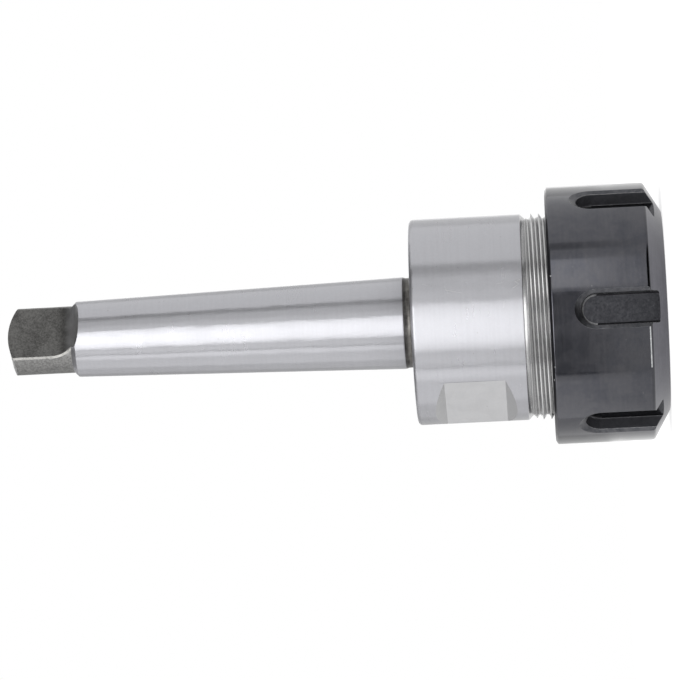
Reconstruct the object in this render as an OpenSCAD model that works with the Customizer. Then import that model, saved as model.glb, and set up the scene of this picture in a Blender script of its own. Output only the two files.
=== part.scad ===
// Collet chuck holder: a taper-shank holder, its clamping nut and the collet between them.
// Millimetres. The chuck stands on the nut's front face, with the shank pointing up +Z.
// The nut's front face is Z = 0, and everything that is turned has its axis on Z.

/* [Clamping nut] */
// Wall of the nut between its thread bore and its outside
nut_wall = 4.85; // [4.5:0.05:6]
// Height of the nut
nut_h = 22.5; // [21:0.5:26]
// Radial width of the bevel round the front face
nut_bevel = 5.75; // [4:0.25:6.5]
// Angle of that bevel against the front face
nut_bevel_angle = 30; // [20:1:40]
// Chamfer on the nut's rear edge
nut_rear_chamfer = 0.55; // [0.2:0.05:1]
// Clearance round the collet's front face in the nut's mouth
mouth_gap = 0.44; // [0.3:0.02:0.6]
// Chamfer where the thread bore opens to the rear
nut_bore_chamfer = 0.5; // [0.2:0.05:0.8]

/* [Spanner slots in the nut] */
// Number of slots
slot_count = 6; // [4:1:8]
// Width of a slot between its walls
slot_w = 6.1; // [5:0.1:7]
// Metal left between the floor of a slot and the thread bore
slot_web = 1.65; // [1.3:0.05:2.2]
// Length of a slot from the front face to its round end
slot_l = 16.5; // [13:0.5:18]
// Width of the chamfer along each wall of a slot
slot_chamfer = 0.75; // [0.4:0.05:0.9]
// Half angle of the cutter that leaves that chamfer
slot_chamfer_angle = 60; // [45:5:60]
// Turn of the slots about the axis
slot_turn = -28; // [-60:1:60]

/* [Thread] */
// Major diameter of the thread
thread_d = 40; // [39:0.5:41]
// Pitch of the thread
thread_pitch = 1.5; // [1.25:0.25:2]
// Distance from the shoulder to the last crest on the +X side
last_crest = 2.13; // [1.9:0.01:2.5]
// Free play of the nut round the holder's thread
thread_clearance = 0.15; // [0.1:0.01:0.2]
// Plain relief between the extraction ring and the nut's thread
nut_relief = 2; // [1.5:0.25:3]

/* [Holder head] */
// Length of the thread from the holder's front face to the shoulder
thread_l = 14.1; // [12:0.1:18]
// Diameter of the head
head_d = 40; // [39:0.5:44]
// Metal between the bottom of the socket and the head's rear face
head_back = 4.5; // [4:0.1:8]
// Rounding of the head's rear edge
head_rear_r = 0.6; // [0.2:0.1:1.2]

/* [Wrench flats on the head] */
// Width across the two flats
flat_across = 36; // [34:0.5:37]
// Distance from the shoulder to the flat
flat_from_shoulder = 4.14; // [3:0.02:6]
// Distance from the head's rear face to the flat
flat_from_rear = 6.06; // [4:0.02:7]
// Turn of the flats about the axis
flat_turn = 27.7; // [0:0.1:90]

/* [Taper shank] */
// Diameter at the gauge plane, as for a No. 2 Morse taper
gauge_d = 17.78; // [17.7:0.01:17.9]
// Length over which the taper gains one millimetre of diameter
taper_rate = 20.02; // [19.5:0.01:20.1]
// Length of the taper in front of the gauge plane, next to the neck
gauge_stand = 2.2; // [1:0.1:4]
// Length of the taper behind the gauge plane
taper_l = 61.6; // [58:0.1:63]
// Length of the neck between head and shank
neck_l = 1.5; // [1:0.1:2.5]
// Depth of the neck below the shank's large end
neck_depth = 0.22; // [0.1:0.02:0.5]

/* [Tang] */
// Length from the shank's small end to the end of the tang
tang_l = 13.4; // [12:0.1:16]
// Thickness across the tang's two flats
tang_t = 6.3; // [5.8:0.1:7]
// Radius of the cutter that leaves the ends of the flats
tang_cut_r = 6; // [4.5:0.5:7]
// Depth to which the run-out of the flats bites into the shank's end
tang_bite = 0.87; // [0.2:0.01:1.5]
// Radius of the rounding round the tang's end face
tang_end_r = 4.5; // [4:0.1:6]
// Width that the rounding takes off the end face, all round
tang_end_w = 3.5; // [2:0.1:3.8]
// Depth of the chamfer at the shank's small end
tang_step = 0.56; // [0.3:0.02:0.7]
// Height of the 45 degree foot of the tang inside that chamfer
tang_foot = 0.29; // [0.1:0.01:0.5]
// Turn of the tang's flats about the axis
tang_turn = -59; // [-90:1:90]

/* [Collet socket in the holder] */
// Angle of the socket's wall against the axis
socket_angle = 8; // [7:0.25:9]
// Room behind the relaxed collet, into which it moves as it closes
closing_room = 4.45; // [4:0.05:6]
// Depth of the relief behind the taper
relief_l = 2.5; // [1:0.5:3]
// Undercut of the relief below the end of the taper
relief_step = 0.1; // [0.05:0.05:0.4]
// Diameter of the pilot hole at the socket's bottom
pilot_d = 10; // [6:0.5:12]
// Depth of the pilot hole before its drill point
pilot_l = 1.5; // [0.5:0.5:2.5]
// Chamfer round the socket's mouth
socket_chamfer = 0.4; // [0.2:0.1:0.8]

/* [Collet] */
// Largest diameter of the collet
collet_d = 33; // [32.8:0.1:33.2]
// Depth of the collet's front face inside the nut's
collet_recess = 0.35; // [0.1:0.05:1]
// Distance that the seated collet's largest diameter stands out of the holder
collet_proud = 3.85; // [3.6:0.05:4.2]
// Overall length of the collet
collet_l = 40; // [38:0.5:41]
// Length from the front face to the largest diameter
collet_nose_l = 9.1; // [8.5:0.05:9.5]
// Angle of the nose against the axis
nose_angle = 30; // [28:0.5:32]
// Width of the groove behind the nose
groove_w = 3; // [2.8:0.1:3.2]
// Depth of the groove below the largest diameter
groove_depth = 1.9; // [1.9:0.05:2.4]
// Cylindrical land between nose and groove
land_w = 1; // [0.6:0.1:1.4]
// Bore of the collet, the size of the tool shank it takes
collet_bore_d = 16; // [6:0.5:20]
// Chamfer at both ends of the bore and on the rear edge
collet_chamfer = 0.6; // [0.3:0.1:1]
// Number of slits from each end
slit_count = 8; // [4:1:8]
// Width of a slit
slit_w = 0.8; // [0.5:0.1:1]
// Metal left beyond the end of a slit
slit_web = 6.5; // [5:0.5:9]

/* [Fits] */
// Gap between two tapered faces that seat on each other
cone_gap = 0.04; // [0.02:0.01:0.06]
// Free play all round the collet's nose land in the nut
land_gap = 0.35; // [0.2:0.05:0.5]
// Free play of the nut's ring in the groove, on the side of the nose
ring_gap = 0.3; // [0.2:0.05:0.4]
// Free play of the ring in the groove, on the side of the taper
ring_back_gap = 0.45; // [0.3:0.05:0.6]
// Free play under the ring where it reaches deepest into the groove
ring_bottom_gap = 0.1; // [0.05:0.05:0.3]

/* [Hidden] */
$fn = 96;

steel = "gainsboro";
blackened = "dimgray";
spring_steel = "silver";

// A cutter reaches this far past the surface that it opens.
over = 1;
// Steps of the thread's helix in one turn.
turn_steps = 60;

// Thread profile: 60 degree flanks, an eighth of the pitch left flat on the crest.
flank_angle = 30;
crest_half = thread_pitch / 16;
// Depth of the profile as a share of its pitch.
depth_share = 0.613;
thread_r = thread_d / 2;
thread_depth = depth_share * thread_pitch;
core_r = thread_r - thread_depth;
nut_bore_r = thread_r + thread_clearance;

// A ridge is rooted this deep in the metal that carries it.
thread_sink = 0.13;
// Share of its height that a ridge starts and ends with.
ridge_start = 0.06;

// The holder's ridge and the nut's, each as [radius, half width] at its root and at its crest.
holder_root = [core_r - thread_sink, ridge_half(core_r - thread_sink)];
holder_crest = [thread_r, ridge_half(thread_r)];
nut_root = [nut_bore_r + thread_sink, groove_half(nut_bore_r + thread_sink)];
nut_crest = [core_r + thread_clearance, groove_half(core_r + thread_clearance)];

// Places along the collet, from its front face. Its largest diameter seats just outside the socket.
collet_r = collet_d / 2;
collet_rear_z = collet_recess + collet_l;
collet_big_z = collet_recess + collet_nose_l;
groove_z = collet_big_z - groove_w;
land_z = groove_z - land_w;
groove_r = collet_r - groove_depth;
nose_r = collet_r - (land_z - collet_recess) * tan(nose_angle);
collet_rear_r = collet_r - (collet_rear_z - collet_big_z) * tan(socket_angle);

// The socket follows the collet's taper, one gap away from it.
holder_z = collet_big_z + collet_proud;
socket_r = collet_r - collet_proud * tan(socket_angle) + cone_gap / cos(socket_angle);
relief_end_z = collet_rear_z + closing_room;
socket_end_z = relief_end_z - relief_l;
socket_end_r = socket_r - (socket_end_z - holder_z) * tan(socket_angle);
pilot_end_z = relief_end_z + pilot_l;
// Half the angle of the drill's point.
drill_point_angle = 59;

// Places along the holder; the thread runs out into a 45 degree chamfer under the head.
head_r = head_d / 2;
shoulder_z = holder_z + thread_l;
head_end_z = relief_end_z + head_back;
shank_z = head_end_z + neck_l;
gauge_z = shank_z + gauge_stand;
small_end_z = gauge_z + taper_l;
tip_z = small_end_z + tang_l;
core_top_z = shoulder_z - (head_r - core_r);
crest_z = shoulder_z - last_crest;

// Radii along the shank.
big_end_r = (gauge_d + gauge_stand / taper_rate) / 2;
small_end_r = (gauge_d - taper_l / taper_rate) / 2;
step_r = small_end_r - tang_step;
tang_r = step_r - tang_foot;
tang_z = small_end_z + tang_step;
tang_rise = sqrt(pow(tang_end_r, 2) - pow(tang_end_w, 2));

// The nut's inside follows the collet's nose and groove, and the holder's thread.
nut_r = nut_bore_r + nut_wall;
nut_cone_r = collet_r + cone_gap / cos(nose_angle);
nut_mouth_r = nose_r + mouth_gap;
nut_mouth_z = land_z - (nut_cone_r - nut_mouth_r) / tan(nose_angle);
cavity_r = collet_r + land_gap;
ring_z = groove_z + ring_gap;
ring_end_z = collet_big_z - ring_back_gap;
nut_bevel_h = nut_bevel * tan(nut_bevel_angle);

// The ring's bore is eccentric: one side bites into the groove, the other clears the nose.
ring_bite = groove_depth - ring_bottom_gap;
ring_offset = ring_bite / 2;
ring_r = collet_r - ring_offset;

// Where a slot's chamfer starts, measured from the axis.
slot_chamfer_r = sqrt(pow(nut_r, 2) - pow(slot_w / 2 + slot_chamfer, 2)) - slot_chamfer / tan(slot_chamfer_angle);
slot_floor_r = nut_bore_r + slot_web;
slot_flare = (nut_r + over - slot_chamfer_r) * tan(slot_chamfer_angle);

// Half the width of the holder's ridge at a radius.
function ridge_half(r) = crest_half + (thread_r - r) * tan(flank_angle);

// Half the width of the nut's ridge at a radius: it fills the groove between, less the play.
function groove_half(r) = thread_pitch / 2 - ridge_half(r - thread_clearance);

// Points on an arc about [x, y], from one angle to another.
function arc(x, y, r, from, to, steps = 8) =
    [for (i = [0:steps]) let (a = from + (to - from) * i / steps) [x + r * cos(a), y + r * sin(a)]];

// One cross-section of a ridge on the helix, with its crest raised to a share of its height.
function ridge_section(angle, z, root, crest, rise) =
    let (
        top = root + (crest - root) * rise,
        inner = root[0] < crest[0] ? root : top,
        outer = root[0] < crest[0] ? top : root,
        profile = [[inner[0], -inner[1]], [outer[0], -outer[1]], [outer[0], outer[1]], [inner[0], inner[1]]]
    )
    [for (p = profile) [p[0] * cos(angle), p[0] * sin(angle), z + p[1]]];

// The ridge of a right-hand thread between two heights, growing and dying away over a fade length.
// Where the helix crosses the +X side, a ridge lies at crest_z or whole pitches from it.
module thread_ridge(from_z, to_z, fade, crest_z, root, crest) {
    step_h = thread_pitch / turn_steps;
    first = ceil((from_z - crest_z) / step_h);
    last = floor((to_z - crest_z) / step_h);
    sections = [for (i = [first:last])
        let (
            z = crest_z + i * step_h,
            share = min(1, (z - from_z) / fade, (to_z - z) / fade)
        )
        ridge_section(i * 360 / turn_steps, z, root, crest, ridge_start + (1 - ridge_start) * share)];
    final = 4 * (last - first);
    sides = [for (i = [0:last - first - 1], k = [0:3])
        let (a = 4 * i + k, b = 4 * i + (k + 1) % 4)
        each [[a, b, b + 4], [a, b + 4, a + 4]]];
    caps = [[0, 2, 1], [0, 3, 2], [final, final + 1, final + 2], [final, final + 2, final + 3]];
    polyhedron([for (s = sections) each s], concat(sides, caps));
}

// The turned outline of the holder, from the axis outwards and back.
module holder_turning() {
    neck_r = big_end_r - neck_depth;
    rotate_extrude() polygon(concat(
        [[0, holder_z], [core_r, holder_z], [core_r, core_top_z]],
        [[head_r, shoulder_z]],
        arc(head_r - head_rear_r, head_end_z - head_rear_r, head_rear_r, 0, 90),
        [[big_end_r, head_end_z], [neck_r, head_end_z + neck_l / 3], [neck_r, shank_z - neck_l / 3]],
        [[big_end_r, shank_z], [small_end_r, small_end_z], [step_r, tang_z]],
        [[tang_r, tang_z + tang_foot]],
        arc(tang_r - tang_end_w, tip_z - tang_end_r, tang_end_r, asin(tang_rise / tang_end_r), 90),
        [[0, tip_z]]
    ));
}

// The hollow that the collet seats in.
module socket() {
    rotate_extrude() polygon([
        [0, holder_z - over],
        [socket_r + socket_chamfer + over, holder_z - over],
        [socket_r + socket_chamfer, holder_z],
        [socket_r - socket_chamfer * tan(socket_angle), holder_z + socket_chamfer],
        [socket_end_r, socket_end_z],
        [socket_end_r + relief_step, socket_end_z],
        [socket_end_r + relief_step, relief_end_z],
        [pilot_d / 2, relief_end_z],
        [pilot_d / 2, pilot_end_z],
        [0, pilot_end_z + pilot_d / 2 / tan(drill_point_angle)],
    ]);
}

// One wrench flat, milled with end walls at 45 degrees.
module wrench_flat() {
    floor_r = flat_across / 2;
    reach = head_r + over - floor_r;
    from_z = shoulder_z + flat_from_shoulder;
    to_z = head_end_z - flat_from_rear;
    translate([0, head_r + over, 0])
        rotate([90, 0, 0])
            linear_extrude(2 * (head_r + over))
                polygon([
                    [floor_r, from_z],
                    [floor_r + reach, from_z - reach],
                    [floor_r + reach, to_z + reach],
                    [floor_r, to_z],
                ]);
}

// One flat of the tang, with the round run-out that the side of a cutter leaves.
module tang_flat() {
    floor_r = tang_t / 2;
    run_out = sqrt(pow(tang_cut_r, 2) - pow(tang_cut_r - (small_end_r - floor_r), 2));
    from_z = small_end_z - tang_bite + run_out;
    width = 2 * (small_end_r + over);
    translate([floor_r, -width / 2, from_z])
        cube([small_end_r, width, tang_l]);
    translate([floor_r + tang_cut_r, width / 2, from_z])
        rotate([90, 0, 0])
            cylinder(h = width, r = tang_cut_r);
}

module holder_body() {
    color(steel) difference() {
        union() {
            holder_turning();
            thread_ridge(holder_z + thread_pitch / 2, core_top_z, thread_pitch / 2,
                crest_z, holder_root, holder_crest);
        }
        socket();
        for (side = [0, 180])
            rotate([0, 0, flat_turn + side]) wrench_flat();
        for (side = [0, 180])
            rotate([0, 0, tang_turn + side]) tang_flat();
    }
}

// One spanner slot: straight walls, a round end and the chamfer that follows both.
module spanner_slot() {
    end_z = slot_l - slot_w / 2;
    depth = nut_r + over - slot_floor_r;
    rotate([0, 90, 0]) {
        translate([-end_z, 0, slot_floor_r]) cylinder(h = depth, d = slot_w);
        translate([-end_z, 0, slot_chamfer_r])
            cylinder(h = nut_r + over - slot_chamfer_r, r1 = slot_w / 2, r2 = slot_w / 2 + slot_flare);
    }
    translate([slot_floor_r, -slot_w / 2, -over]) cube([depth, slot_w, end_z + over]);
    translate([0, 0, -over])
        linear_extrude(end_z + over)
            polygon([
                [slot_chamfer_r, -slot_w / 2],
                [nut_r + over, -slot_w / 2 - slot_flare],
                [nut_r + over, slot_w / 2 + slot_flare],
                [slot_chamfer_r, slot_w / 2],
            ]);
}

module clamping_nut() {
    color(blackened) difference() {
        rotate_extrude() polygon([
            [0, 0],
            [nut_r - nut_bevel, 0],
            [nut_r, nut_bevel_h],
            [nut_r, nut_h - nut_rear_chamfer],
            [nut_r - nut_rear_chamfer, nut_h],
            [0, nut_h],
        ]);
        rotate_extrude() polygon([
            [0, -over],
            [nut_mouth_r, -over],
            [nut_mouth_r, nut_mouth_z],
            [nut_cone_r, land_z],
            [cavity_r, land_z],
            [cavity_r, ring_z],
            [0, ring_z],
        ]);
        translate([ring_offset, 0, ring_z - over]) cylinder(h = ring_end_z - ring_z + 2 * over, r = ring_r);
        rotate_extrude() polygon([
            [0, ring_end_z],
            [nut_bore_r, ring_end_z],
            [nut_bore_r, nut_h - nut_bore_chamfer],
            [nut_bore_r + nut_bore_chamfer + over, nut_h + over],
            [0, nut_h + over],
        ]);
        for (i = [0:slot_count - 1])
            rotate([0, 0, slot_turn + i * 360 / slot_count]) spanner_slot();
    }
    color(blackened)
        thread_ridge(ring_end_z + nut_relief, nut_h - nut_bore_chamfer - thread_pitch / 2, thread_pitch / 2,
            crest_z - thread_pitch / 2, nut_root, nut_crest);
}

// Radial slits from one end of the collet, leaving a web at the other.
module slits(from_z, to_z, turn) {
    for (i = [0:slit_count - 1])
        rotate([0, 0, turn + i * 360 / slit_count])
            translate([0, -slit_w / 2, from_z])
                cube([collet_d, slit_w, to_z - from_z]);
}

module collet() {
    bore_r = collet_bore_d / 2;
    color(spring_steel) difference() {
        rotate_extrude() polygon([
            [bore_r + collet_chamfer, collet_recess],
            [nose_r, collet_recess],
            [collet_r, land_z],
            [collet_r, groove_z],
            [groove_r, groove_z],
            [groove_r, collet_big_z],
            [collet_r, collet_big_z],
            [collet_rear_r + collet_chamfer * tan(socket_angle), collet_rear_z - collet_chamfer],
            [collet_rear_r - collet_chamfer, collet_rear_z],
            [bore_r + collet_chamfer, collet_rear_z],
            [bore_r, collet_rear_z - collet_chamfer],
            [bore_r, collet_recess + collet_chamfer],
        ]);
        slits(collet_recess - over, collet_rear_z - slit_web, 0);
        slits(collet_recess + slit_web, collet_rear_z + over, 180 / slit_count);
    }
}

holder_body();
clamping_nut();
collet();
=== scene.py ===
import math

import bmesh
import bpy
from mathutils import Matrix, Vector


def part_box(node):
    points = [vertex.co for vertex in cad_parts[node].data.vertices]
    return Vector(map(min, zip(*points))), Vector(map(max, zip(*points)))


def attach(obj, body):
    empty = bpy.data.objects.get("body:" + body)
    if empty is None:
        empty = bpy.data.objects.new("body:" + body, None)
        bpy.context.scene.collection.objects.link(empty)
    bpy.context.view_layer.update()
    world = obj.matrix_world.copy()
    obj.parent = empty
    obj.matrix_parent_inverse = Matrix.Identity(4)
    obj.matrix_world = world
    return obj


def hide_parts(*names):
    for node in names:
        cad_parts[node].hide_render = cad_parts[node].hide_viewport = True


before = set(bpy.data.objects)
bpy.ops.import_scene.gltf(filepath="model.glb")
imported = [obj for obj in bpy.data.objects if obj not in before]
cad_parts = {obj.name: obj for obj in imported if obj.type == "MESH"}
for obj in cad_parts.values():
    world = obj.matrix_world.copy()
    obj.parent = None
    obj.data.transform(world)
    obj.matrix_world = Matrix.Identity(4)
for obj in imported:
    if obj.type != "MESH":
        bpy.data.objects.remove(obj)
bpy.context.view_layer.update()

print("frame loaded")

# Collet chuck, modelled in millimetres with Z along its axis, and brought to metres piece by piece.
mm = 0.001
tiny = 0.001  # lengths below this, in millimetres, count as nothing
apart = 0.1  # keeps faces of two solids from lying in one plane
overcut = 1.0  # a cutter reaches this far past the surface that it opens
holderLow, holderHigh = [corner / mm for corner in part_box("holder_body")]
colletLow, colletHigh = [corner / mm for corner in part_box("collet")]
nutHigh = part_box("clamping_nut")[1] / mm


def deselectAll():
    if bpy.context.mode != "OBJECT":
        bpy.ops.object.mode_set(mode="OBJECT")
    bpy.ops.object.select_all(action="DESELECT")


def makeActive(obj):
    deselectAll()
    obj.select_set(True)
    bpy.context.view_layer.objects.active = obj


def pick(obj, kind, test):  # edit mode, with only the parts that pass the test selected
    makeActive(obj)
    bpy.ops.object.mode_set(mode="EDIT")
    bpy.ops.mesh.select_mode(type=kind)
    bpy.ops.mesh.select_all(action="DESELECT")
    shape = bmesh.from_edit_mesh(obj.data)
    for part in {"VERT": shape.verts, "EDGE": shape.edges, "FACE": shape.faces}[kind]:
        if test(part):
            part.select_set(True)
    shape.select_flush_mode()
    bmesh.update_edit_mesh(obj.data)


def tanDeg(angle):
    return math.tan(math.radians(angle))


def facing(angle):  # x and y of a direction, at an angle from the camera's side towards +X
    side = math.radians(angle)
    return math.sin(side), -math.cos(side)


def arcPoints(x, z, radius, start, end, count):  # an arc in the XZ plane, with angles in degrees
    angles = [math.radians(start + (end - start) * i / count) for i in range(count + 1)]
    return [(x + radius * math.cos(angle), z + radius * math.sin(angle)) for angle in angles]


def drawOutline(name, points):  # edges in the XZ plane; a point is (x, z) or (x, z, rounding)
    deselectAll()
    bpy.ops.mesh.primitive_plane_add(size=1)
    obj = bpy.context.object
    obj.name = obj.data.name = name
    bpy.ops.object.mode_set(mode="EDIT")
    bpy.ops.mesh.select_mode(type="VERT")
    bpy.ops.mesh.merge(type="CENTER")
    at = Vector((0, 0, 0))
    for index, point in enumerate(points):
        move = Vector((point[0], 0, point[1])) - at
        if index:
            bpy.ops.mesh.extrude_region_move(TRANSFORM_OT_translate={"value": move})
        else:
            bpy.ops.transform.translate(value=move)
        at += move
    bpy.ops.mesh.select_all(action="SELECT")
    bpy.ops.mesh.remove_doubles()
    for rounding in sorted({point[2] for point in points if len(point) > 2}):
        corners = [Vector((p[0], 0, p[1])) for p in points if len(p) > 2 and p[2] == rounding]
        pick(obj, "VERT", lambda vert: any((vert.co - corner).length < tiny for corner in corners))
        bpy.ops.mesh.bevel(offset=rounding, segments=3 if rounding < 0.5 else 6, affect="VERTICES")
    return obj


def turn(name, points, steps=256):  # the outline spun about Z, as on a lathe
    obj = drawOutline(name, points)
    pick(obj, "VERT", lambda vert: True)
    bpy.ops.mesh.spin(steps=steps, angle=2 * math.pi, center=(0, 0, 0), axis=(0, 0, 1))
    bpy.ops.mesh.select_all(action="SELECT")
    bpy.ops.mesh.remove_doubles()
    bpy.ops.mesh.normals_make_consistent(inside=False)
    deselectAll()
    return obj


def prism(name, points, width):  # the closed outline drawn out along Y, to both sides
    obj = drawOutline(name, points)
    pick(obj, "VERT", lambda vert: True)
    bpy.ops.mesh.edge_face_add()
    bpy.ops.transform.translate(value=(0, -width / 2, 0))
    bpy.ops.mesh.extrude_region_move(TRANSFORM_OT_translate={"value": (0, width, 0)})
    bpy.ops.mesh.select_all(action="SELECT")
    bpy.ops.mesh.normals_make_consistent(inside=False)
    deselectAll()
    return obj


def copyTurned(obj, angle):  # a copy with its own mesh, turned about Z
    copy = obj.copy()
    copy.data = obj.data.copy()
    bpy.context.scene.collection.objects.link(copy)
    copy.rotation_euler.z = math.radians(angle)
    makeActive(copy)
    bpy.ops.object.transform_apply(rotation=True)
    return copy


def ringOf(obj, angles):  # copies round Z at these angles, joined; the first object is used up
    copies = [copyTurned(obj, angle) for angle in angles]
    bpy.data.objects.remove(obj)
    deselectAll()
    for copy in copies:
        copy.select_set(True)
    bpy.context.view_layer.objects.active = copies[0]
    bpy.ops.object.join()
    return copies[0]


def carve(obj, tool, how="DIFFERENCE"):  # a boolean with another object, which is used up
    makeActive(obj)
    step = obj.modifiers.new("carve", "BOOLEAN")
    step.operation = how
    step.solver = "EXACT"
    step.material_mode = "TRANSFER"
    step.object = tool
    bpy.ops.object.modifier_apply(modifier=step.name)
    bpy.data.objects.remove(tool)


def screwRidge(name, root, crest, pitch, crestZ, fromZ, toZ, steps=128):
    # a right-hand thread's ridge that crosses +X at crestZ; root and crest: (radius, half width)
    startZ = crestZ - math.ceil((crestZ - fromZ) / pitch) * pitch
    points = [(root[0], startZ - root[1]), (crest[0], startZ - crest[1])]
    points += [(crest[0], startZ + crest[1]), (root[0], startZ + root[1])]
    obj = drawOutline(name, points + points[:1])
    makeActive(obj)
    sweep = obj.modifiers.new("helix", "SCREW")
    sweep.axis = "Z"
    sweep.angle = 2 * math.pi
    sweep.screw_offset = pitch
    sweep.iterations = math.ceil((toZ - startZ) / pitch)
    sweep.steps = sweep.render_steps = steps
    sweep.use_merge_vertices = False
    bpy.ops.object.modifier_apply(modifier=sweep.name)
    pick(obj, "VERT", lambda vert: True)
    bpy.ops.mesh.remove_doubles()
    bpy.ops.mesh.fill_holes(sides=4)
    bpy.ops.mesh.select_all(action="SELECT")
    bpy.ops.mesh.normals_make_consistent(inside=False)
    deselectAll()
    return obj


def paint(obj, finish, test, between=(-180, 180)):  # a finish for the faces that pass the test
    # The test gets the radius and height of a face's centre, and how much its normal points away
    # from the axis and along it, from -1 to 1. The centre's angle, counted from the camera's side
    # towards +X, has to lie between the two.
    if finish.name not in obj.data.materials:
        obj.data.materials.append(finish)
    index = obj.data.materials.find(finish.name)
    for face in obj.data.polygons:
        radius = math.hypot(face.center.x, face.center.y)
        outward = face.normal.x * face.center.x + face.normal.y * face.center.y
        outward /= max(radius, tiny)
        angle = math.degrees(math.atan2(face.center.x, -face.center.y))
        passes = test(radius, face.center.z, outward, face.normal.z)
        if between[0] <= angle <= between[1] and passes:
            face.material_index = index


def finishPiece(obj, body, node, smoothAngle=30):
    # brings a piece to metres, smooths it between its sharp edges and puts it on its body
    makeActive(obj)
    obj.scale = (mm, mm, mm)
    bpy.ops.object.transform_apply(scale=True)
    bpy.ops.object.shade_smooth_by_angle(angle=math.radians(smoothAngle))
    even = obj.modifiers.new("even", "WEIGHTED_NORMAL")  # large faces keep their own normals
    even.keep_sharp = True
    bpy.ops.object.modifier_apply(modifier=even.name)
    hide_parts(node)
    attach(obj, body)
    print(obj.name, "has", sum(len(face.vertices) - 2 for face in obj.data.polygons), "triangles")


# Finishes: node groups for what the surfaces share, then one material for each kind of surface.
# Patterns lie on Object coordinates; their sizes are given in millimetres, and the groups turn them
# to metres.
def addNode(tree, kind, inputs=None, **settings):  # an input takes a value or a socket
    node = tree.nodes.new("ShaderNode" + kind)
    for name, value in settings.items():
        setattr(node, name, value)
    for name, value in (inputs or {}).items():
        if isinstance(value, bpy.types.NodeSocket):
            tree.links.new(value, node.inputs[name])
        else:
            node.inputs[name].default_value = value
    return node


def calculate(tree, operation, *values):
    return addNode(tree, "Math", dict(enumerate(values)), operation=operation).outputs[0]


def vectorMath(tree, operation, *values):
    names = (0, "Scale" if operation == "SCALE" else 1)
    outputs = addNode(tree, "VectorMath", dict(zip(names, values)), operation=operation).outputs
    return outputs["Value" if operation in ("LENGTH", "DISTANCE", "DOT_PRODUCT") else "Vector"]


def fade(tree, value, low, high, fromValue=0, toValue=1):  # a soft step between two values
    inputs = {"Value": value, "From Min": low, "From Max": high, "To Min": fromValue,
              "To Max": toValue}
    return addNode(tree, "MapRange", inputs, interpolation_type="SMOOTHSTEP").outputs[0]


def blend(tree, share, *pair):  # of two colours
    pair = [color if isinstance(color, bpy.types.NodeSocket) else (*color, 1) for color in pair]
    return addNode(tree, "Mix", {0: share, 6: pair[0], 7: pair[1]}, data_type="RGBA").outputs[2]


def noise(tree, vector, scale, distortion=0.0, detail=3):
    inputs = {"Vector": vector, "Scale": scale, "Detail": detail, "Distortion": distortion}
    return addNode(tree, "TexNoise", inputs).outputs["Fac"]


def newGroup(name, inputs, outputs):  # with the kind of each of its sockets
    group = bpy.data.node_groups.new(name, "ShaderNodeTree")
    for side, sockets in (("INPUT", inputs), ("OUTPUT", outputs)):
        for label, kind in sockets.items():
            group.interface.new_socket(label, in_out=side, socket_type="NodeSocket" + kind)
    given = group.nodes.new("NodeGroupInput").outputs
    return group, given, group.nodes.new("NodeGroupOutput").inputs


def useGroup(tree, group, **inputs):  # the group in a material, with its own values
    return addNode(tree, "Group", inputs, node_tree=group).outputs


def newMaterial(name):  # with its nodes and its shader's inputs
    material = bpy.data.materials.new(name)
    material.use_nodes = True
    return material, material.node_tree, material.node_tree.nodes["Principled BSDF"].inputs


# What the patterns share: a contrast is the pair of values that its soft step runs between, and the
# worn turn is how far a face's normal has to turn away from the rounded one, as a cosine
patterns = {"ringShare": 0.83, "markContrast": (0.25, 0.75), "smudgeContrast": (0.3, 0.7),
            "smudgeWarp": 0.6, "wornContrast": (0.25, 0.6), "wornPatchesPerMm": 0.9,
            "wornTurn": (0.97, 0.82), "roundingSamples": 6, "wavesPerMm": 0.2, "waveArc": 4.0,
            "speckSpacing": 1.3, "speckSize": 0.16, "speckRough": 0.15}

# turningMarks: fine lines round the axis, and rings on faces square to it
turningMarks, given, out = newGroup(
    "turningMarks", {"Vector": "Vector", "LinesPerMm": "Float", "Arc": "Float"}, {"Marks": "Float"})
across = vectorMath(turningMarks, "MULTIPLY", given["Vector"], (1, 1, 0))
radius = vectorMath(turningMarks, "LENGTH", across)
ray = vectorMath(turningMarks, "NORMALIZE", across)
height = addNode(turningMarks, "SeparateXYZ", {0: given["Vector"]}).outputs["Z"]
along = calculate(turningMarks, "MULTIPLY_ADD", radius, patterns["ringShare"], height)
perMetre = calculate(turningMarks, "DIVIDE", given["LinesPerMm"], mm)
along = calculate(turningMarks, "MULTIPLY", along, perMetre)
arcs = vectorMath(turningMarks, "SCALE", ray, given["Arc"])
lines = addNode(turningMarks, "CombineXYZ", {"Z": along}).outputs[0]
lines = noise(turningMarks, vectorMath(turningMarks, "ADD", arcs, lines), 1)
turningMarks.links.new(fade(turningMarks, lines, *patterns["markContrast"]), out["Marks"])

# smudges: soft patches of this size
smudges, given, out = newGroup(
    "smudges", {"Vector": "Vector", "Size": "Float"}, {"Smudge": "Float"})
scale = calculate(smudges, "DIVIDE", 1 / mm, given["Size"])
patch = noise(smudges, given["Vector"], scale, patterns["smudgeWarp"])
smudges.links.new(fade(smudges, patch, *patterns["smudgeContrast"]), out["Smudge"])

# specks: sparse round spots; Share is the part of the cells that hold one
specks, given, out = newGroup(
    "specks", {"Vector": "Vector", "Spacing": "Float", "Size": "Float", "Share": "Float"},
    {"Speck": "Float"})
scale = calculate(specks, "DIVIDE", 1 / mm, given["Spacing"])
cells = addNode(specks, "TexVoronoi", {"Vector": given["Vector"], "Scale": scale})
reach = calculate(specks, "MULTIPLY", cells.outputs["Distance"], given["Spacing"])
spot = fade(specks, reach, 0, given["Size"], 1, 0)
chance = addNode(specks, "SeparateColor", {0: cells.outputs["Color"]}).outputs[0]
held = calculate(specks, "LESS_THAN", chance, given["Share"])
specks.links.new(calculate(specks, "MULTIPLY", spot, held), out["Speck"])

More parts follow.
